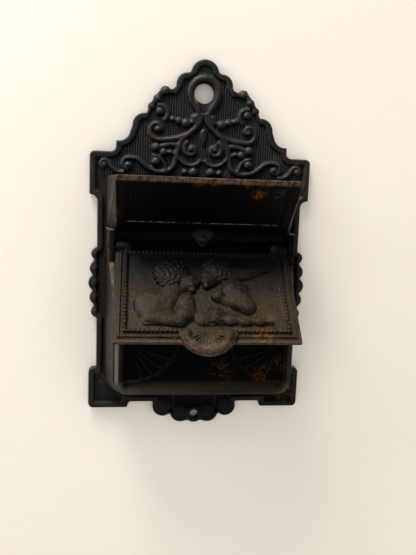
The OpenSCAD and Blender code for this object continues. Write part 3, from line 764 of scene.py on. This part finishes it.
plate = blank_from("back_plate", "back_plate_casting")
fatten_rim(plate)
lumps = [tubes("scroll_bands", [scroll_tube(*scroll, side) for scroll in scrolls for side in (1, -1)])]
for x, z, r in scroll_buttons:
    lumps += [ball((side, -PLATE_T, z), (r, r * BUTTON_RISE, r)) for side in both_ways(x)]

# %% [markdown]
# ## Back plate: palmette and side leaves
#
# Below the box the plate ends in a palmette of four round petals beside an eyelet for the lower screw, and
# each side has a row of five scalloped leaves. Each petal is a flattened ball, and the eyelet a ring. All of
# it is fused to the plate, which is then cast.

# %% Palmette and side leaves
BASE_Z = -153.9
SCREW_Z = -160.7
PETAL_RISE = 1.6
LEAF_X, LEAF_MID, LEAF_PITCH, LEAF_RISE = 50, -92.75, 7.2, 1.9
# A leaf's shift outwards, half width and half height, as shares of its radius
LEAF_OUT, LEAF_W, LEAF_H = 0.35, 0.5, 0.62
EYELET_R, EYELET_RISE, EYELET_BAND, EYELET_TURN = 3.1, 0.8, 0.95, 12
SEAM_X, SEAM_TOP, SEAM_DROP, SEAM_R = 10.8, -147, 3.4, 0.45
petals = [(16.3, BASE_Z - 2.7, 4.3), (7, BASE_Z - 5.7, 4.0)]
leaf_radii = (3, 3.7, 4.3, 3.7, 3)
for x, z, r in petals:
    lumps += [ball((side, -PLATE_T, z), (r, PETAL_RISE, r)) for side in (x, -x)]
for i, r in enumerate(leaf_radii):
    z = LEAF_MID + LEAF_PITCH * (2 - i)
    lumps += [ball((side * (LEAF_X + r * LEAF_OUT), -PLATE_T, z), (r * LEAF_W, LEAF_RISE, r * LEAF_H))
              for side in (1, -1)]
eyelet = [(EYELET_R * math.cos(a), -PLATE_T - EYELET_RISE, SCREW_Z + EYELET_R * math.sin(a), EYELET_BAND)
          for a in (math.radians(EYELET_TURN * i) for i in range(360 // EYELET_TURN + 1))]
seams = [[(x, -PLATE_T, z, SEAM_R) for z in (SEAM_TOP, BASE_Z - SEAM_DROP)] for x in (SEAM_X, -SEAM_X)]
lumps.append(tubes("eyelet", [eyelet] + seams))
fuse(plate, lumps)
cast(plate, grid=0.42, melt=3)
dress(plate, "back_plate", "holder", plate_iron)

# %% [markdown]
# ## Back plate: ribbed ground
#
# Behind the scrolls the ground is combed with fine upright ribs. Each rib is one bevelled bar, stretched to
# fit a run of open ground. Rays cast at the solid find these runs, so that the ribs stop at the rim and at
# the hole.

# %% Ground ribs
RIB_PITCH = 1.2
RIB_W = 0.62
RIB_H = 0.42
RIB_EDGE = 0.2
RIB_LOW, RIB_TOP, RIB_REACH = -41.0, 16.0, 50
STEP = 0.4
SHORTEST_RUN = 1
WIDEST_BREAK = 7
HOLE_CLEAR = 6
RAY_FROM = -20
SMOOTH_UP_TO = math.radians(50)

solid = nodes["back_plate"].data
plate_tree = BVHTree.FromPolygons([v.co for v in solid.vertices], [f.vertices for f in solid.polygons])


def on_ground(x, z):
    """True where the plate's plain ground lies open at a place."""
    hit = plate_tree.ray_cast(Vector((x, RAY_FROM, z)) * MM, Vector((0, 1, 0)))[0]
    return hit is not None and abs(hit.y / MM + PLATE_T) < LEVEL_SLACK


def ground_runs(x):
    """Stretches of ground above the tray, from low to high, in mm. Breaks under scrolls are bridged."""
    runs = []
    for i in range(int((RIB_TOP - RIB_LOW) / STEP)):
        z = RIB_LOW + i * STEP
        if not on_ground(x, z):
            continue
        near = runs and z - runs[-1][1] < WIDEST_BREAK
        if near and math.hypot(x, (z + runs[-1][1]) / 2) > HOLE_CLEAR:
            runs[-1][1] = z
        else:
            runs.append([z, z])
    return [run for run in runs if run[1] - run[0] > SHORTEST_RUN]


bpy.ops.object.select_all(action="DESELECT")
bpy.ops.mesh.primitive_cube_add(size=1)
rib = bpy.context.object
rib.data.transform(Matrix.Diagonal((RIB_W * MM, 2 * RIB_H * MM, MM, 1)))
for edge in rib.data.edges:
    ends = [rib.data.vertices[v].co for v in edge.vertices]
    edge.select = all(end.y < 0 for end in ends) and ends[0].z * ends[1].z < 0
bpy.ops.object.mode_set(mode="EDIT")
bpy.ops.mesh.select_mode(type="EDGE")
bpy.ops.mesh.bevel(offset=RIB_EDGE * MM, segments=2)
bpy.ops.object.mode_set(mode="OBJECT")

ribs = []
rib_count = int(RIB_REACH / RIB_PITCH)
for i in range(-rib_count, rib_count):
    x = (i + 0.5) * RIB_PITCH
    for low, high in ground_runs(x):
        copy = rib.copy()
        copy.data = rib.data.copy()
        bpy.context.scene.collection.objects.link(copy)
        middle = Vector((x, -PLATE_T, (high + low) / 2)) * MM
        copy.data.transform(Matrix.Translation(middle) @ Matrix.Diagonal((1, 1, high - low, 1)))
        ribs.append(copy)
bpy.data.objects.remove(rib)
ground_ribs = fuse(ribs[0], ribs[1:])
ground_ribs.name = "ground_ribs"
bpy.ops.object.shade_smooth_by_angle(angle=SMOOTH_UP_TO)
ground_ribs.data.materials.append(plate_iron)
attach(ground_ribs, "holder")
print("ground ribs:", len(ribs))

# %% [markdown]
# ## Tray and box
#
# Both are thin-walled castings whose shape the construction model already has. The tray gets the thin fillets
# that run down its cheeks, and then both only need soft edges.

# %% Tray and box
CHEEK_FRONT, CHEEK_FLARE = 40.0, 5.7
LIP_Z, LIP_OUT = -42.0, 38.4
FOOT_Z, FOOT_OUT = -65.0, 15.0
FILLET_R = 0.5
FILLET_SHARES = (0.03, 0.22, 0.45, 0.7)
BOX_TRIANGLES = 180_000


def side_fillet(share, side):
    """A thin round fillet down one cheek of the tray, at a share of the way back from its front edge."""
    x = side * (CHEEK_FRONT + CHEEK_FLARE * share)
    ends = ((LIP_OUT, LIP_Z), (FOOT_OUT, FOOT_Z))
    return [(x, -PLATE_T - out * (1 - share), z, FILLET_R) for out, z in ends]


tray = blank_from("upper_tray", "tray_casting")
fillets = [side_fillet(share, side) for share in FILLET_SHARES for side in (1, -1)]
fuse(tray, [tubes("side_fillets", fillets)])
cast(tray, grid=0.32, melt=1)
dress(tray, "upper_tray", "holder", tray_iron)

box = blank_from("match_box", "box_casting")
cast(box, grid=0.38, melt=2, most_triangles=BOX_TRIANGLES)
dress(box, "match_box", "holder", box_iron)

# %% [markdown]
# ## Lid: two putti in low relief
#
# The lid carries two children, head to head, over a bank of cloud, and a wing spreads behind the right one.
# A modeller would build such a relief from flattened lumps of wax: a ball for each head, rounded strips for
# arms and feathers, small hooks for the curls. The same is done here, with the lid laid level so that heights
# are measured from its face.

# %% Helpers for relief
LID_SLOPE = math.radians(45)
GOLDEN_ANGLE = math.radians(137.5)
LOCK_R = 0.5
HOOK_POINTS, HOOK_TURN, HOOK_TAPER = 8, 35, 0.09
hinge = Vector(frame["joints"][0]["pos_m"])
on_slope = Matrix.Translation(hinge) @ Matrix.Rotation(LID_SLOPE, 4, "X")


def mass(x, s, rx, rs, h, turn=0.0):
    """A flattened lump at x across and s down the slope."""
    return ball((x, -s, 0), (rx, rs, h), math.radians(turn))


def limb(a, b, ra, rb, h, steps=9):
    """A rounded strip of lumps from a to b."""
    lumps = []
    for i in range(steps):
        t = i / (steps - 1)
        r = ra + (rb - ra) * t
        lumps.append(mass(a[0] + (b[0] - a[0]) * t, a[1] + (b[1] - a[1]) * t, r, r, h * r / max(ra, rb)))
    return lumps


def curls(x, s, rx, rs, h, face_at, keep_off, count=60):
    """Small hooked locks spread over a head by the golden angle, but not over its face.

    Each lies on the round of the head, and is turned and sized a little differently from the next.
    """
    locks = []
    for i in range(count):
        reach = math.sqrt((i + 0.5) / count)
        angle = i * GOLDEN_ANGLE
        place = Vector((x + rx * reach * math.cos(angle), s + rs * reach * math.sin(angle)))
        if (place - Vector(face_at)).length < keep_off:
            continue
        rise = h * math.sqrt(1 - 0.9 * reach * reach) * 0.96
        turn = 2.4 * angle
        radius = 0.8 + 0.35 * math.sin(5 * i)
        hook = [(turn + math.radians(HOOK_TURN * k), radius * (1 - HOOK_TAPER * k))
                for k in range(HOOK_POINTS)]
        locks.append([(place.x + r * math.cos(a), -place.y - r * math.sin(a), rise, LOCK_R) for a, r in hook])
    return tubes("locks", locks)


def face(x, s, side):
    """A plain round child's face in profile: cheek, brow, nose and chin."""
    return [mass(x, s, 4.6, 4.8, 2.7), mass(x + 1.2 * side, s + 1.8, 2.4, 2.4, 3.1),
            mass(x + 1.6 * side, s - 2.2, 2.6, 1.1, 2.9), mass(x + 3.9 * side, s + 0.5, 0.9, 1.3, 2.6),
            mass(x + 1.4 * side, s + 4.4, 1.9, 1.5, 2.5)]


print("hinge at", [round(c / MM, 1) for c in hinge], "mm")

# %% [markdown]
# ## Lid: figures, wing and cloud
#
# Each figure is a head, a plain face, a body and a few limbs, given by where they lie across the lid and down
# its slope, in millimetres. Their lumps are melted together with the cloud's, as warm wax is smoothed with a
# thumb. The hair and the wing are fused to the lid afterwards, so that they stay crisp.

# %% Figures, wing and cloud
WAX_GRID = 0.4
WAX_MELTS = 10
FEATHERS = 4


def putto_left():
    """The left child: head, face, shoulder, body and a bent arm."""
    lumps = [mass(-15.2, 16.2, 8.6, 7.9, 3.0)] + face(-7.4, 20.6, 1)
    lumps += limb((-14, 24), (-18, 30), 4.4, 5.2, 2.2)
    lumps += [mass(-23, 32.4, 9.4, 8.8, 2.6, 12)]
    lumps += limb((-9.8, 37), (-8.6, 29.6), 4.8, 3.4, 2.8)
    lumps += limb((-25, 39), (-12, 40.4), 3.4, 3.8, 2.3)
    return lumps


def putto_right():
    """The right child: head, face, shoulder, upper arm, forearm and hand."""
    lumps = [mass(5.8, 14, 7.4, 6.9, 3.0)] + face(1.9, 18.4, -1)
    lumps += [mass(13.2, 24.4, 6.6, 6.2, 2.6, -25)]
    lumps += limb((12.4, 24), (18, 33), 5.4, 4.4, 2.9)
    lumps += limb((18, 33), (7, 28.8), 4.0, 2.9, 2.8)
    lumps += [mass(5.4, 27.8, 3.5, 3.2, 2.9)]
    return lumps


def wing():
    """Long feathers that fan out behind the right child."""
    lumps = []
    for i in range(FEATHERS):
        lumps += limb((12, 12.4 + 1.9 * i), (29.5 - 2.8 * i, 12.8 + 1.4 * i), 1.5, 0.9, 2.0, steps=18)
    return lumps


def cloud():
    """A low bank of round lumps under the figures."""
    row = [(-1.6, 39.4, 4.6, 4.0), (3.6, 38, 4.6, 4.8), (10, 40, 4.6, 3.2),
           (16.6, 40.6, 4.4, 2.8), (23, 41, 4.0, 2.2)]
    return [mass(x, s, rx, rs, 2.0) for x, s, rx, rs in row]


wax = putto_left() + putto_right() + cloud()
relief = fuse(wax[0], wax[1:])
use_modifier(relief, "REMESH", mode="VOXEL", voxel_size=WAX_GRID * MM)
use_modifier(relief, "SMOOTH", factor=MELT_FACTOR, iterations=WAX_MELTS)
hair = [curls(-15.4, 15.9, 8.4, 7.6, 2.9, (-6.2, 21.4), 5.4),
        curls(6.2, 13.6, 7.2, 6.6, 2.9, (0.8, 18.6), 4.8, count=48)]
print("relief lumps:", len(wax))

# %% [markdown]
# ## Lid: beads and shell
#
# A row of beads runs round the lid on its inner moulding. Beads this small start as coarse balls, which the
# casting rounds. At the front edge is the thumb piece, half a shell: ribs spread from the middle of its
# straight top to a thick round rim. With these the lid is complete. It is laid level for the fusing and
# casting, and then turned back to its slope.

# %% Beads and shell
BEAD_PITCH = 1.95
BEAD_X, BEAD_BACK, BEAD_FRONT = 35.55, 3.3, 45.75
BEAD_UP = 0.7
BEAD_RADII = (0.8, 0.8, 0.95)
SHELL_S = 47.0
SHELL_R = 11.0
SHELL_RIBS, SHELL_RIB_TURN = 11, 15
SHELL_RIB_FROM, SHELL_RIB_TO = 1.6, 6.6
SHELL_RIM_BALLS, SHELL_RIM_TURN = 37, 5
SHELL_RIM_X, SHELL_RIM_S, SHELL_RIM_UP = 9.3, 7.6, 0.9
SHELL_RIM_RADII = (1.9, 1.9, 1.5)


def bead_row(start, end):
    """Beads from start towards end, left out where the shell lies."""
    run = Vector(end) - Vector(start)
    count = round(run.length / BEAD_PITCH)
    places = [Vector(start) + run * i / count for i in range(count)]
    places = [p for p in places if math.hypot(p.x, p.y - SHELL_S) > SHELL_R]
    return [ball((p.x, -p.y, BEAD_UP), BEAD_RADII, segments=10, rings=6) for p in places]


def bead_frame():
    """Four rows of beads, each from one corner to the next."""
    corners = [(-BEAD_X, BEAD_BACK), (BEAD_X, BEAD_BACK), (BEAD_X, BEAD_FRONT), (-BEAD_X, BEAD_FRONT)]
    lumps = []
    for start, end in zip(corners, corners[1:] + corners[:1]):
        lumps += bead_row(start, end)
    return lumps


def shell():
    """Ribs that spread from a root, and a half-round rim of balls."""
    root = Vector((0, SHELL_S))
    lumps = []
    for i in range(1, SHELL_RIBS + 1):
        a = math.radians(SHELL_RIB_TURN * i)
        out = Vector((math.cos(a), math.sin(a)))
        lumps += limb(root + out * SHELL_RIB_FROM, root + out * SHELL_RIB_TO, 0.4, 0.6, 2.1, steps=14)
    for i in range(SHELL_RIM_BALLS):
        a = math.radians(SHELL_RIM_TURN * i)
        place = (SHELL_RIM_X * math.cos(a), -SHELL_S - SHELL_RIM_S * math.sin(a), SHELL_RIM_UP)
        lumps.append(ball(place, SHELL_RIM_RADII))
    return lumps


lid = blank_from("lid", "lid_casting")
lid.data.transform(on_slope.inverted())
fuse(lid, [relief] + hair + wing() + bead_frame() + shell())
cast(lid, grid=0.34, melt=2)
lid.data.transform(on_slope)
dress(lid, "lid", "lid", lid_iron)

# %% [markdown]
# ## Pins and rivets
#
# These keep their construction solids, which are small and already round, and take the plain dark iron.

# %% Pins and rivets
FASTENERS = ("hinge_pin_left", "hinge_pin_right", "tray_rivet", "box_rivets")
for name in FASTENERS:
    fastener = nodes[name]
    fastener.data.materials.clear()
    fastener.data.materials.append(pin_iron)
print("pins and rivets dressed:", len(FASTENERS))

# %% [markdown]
# ## Sizes
#
# The castings were remeshed and melted, so the box that they fill should be nearly the same as the box of
# the solids.
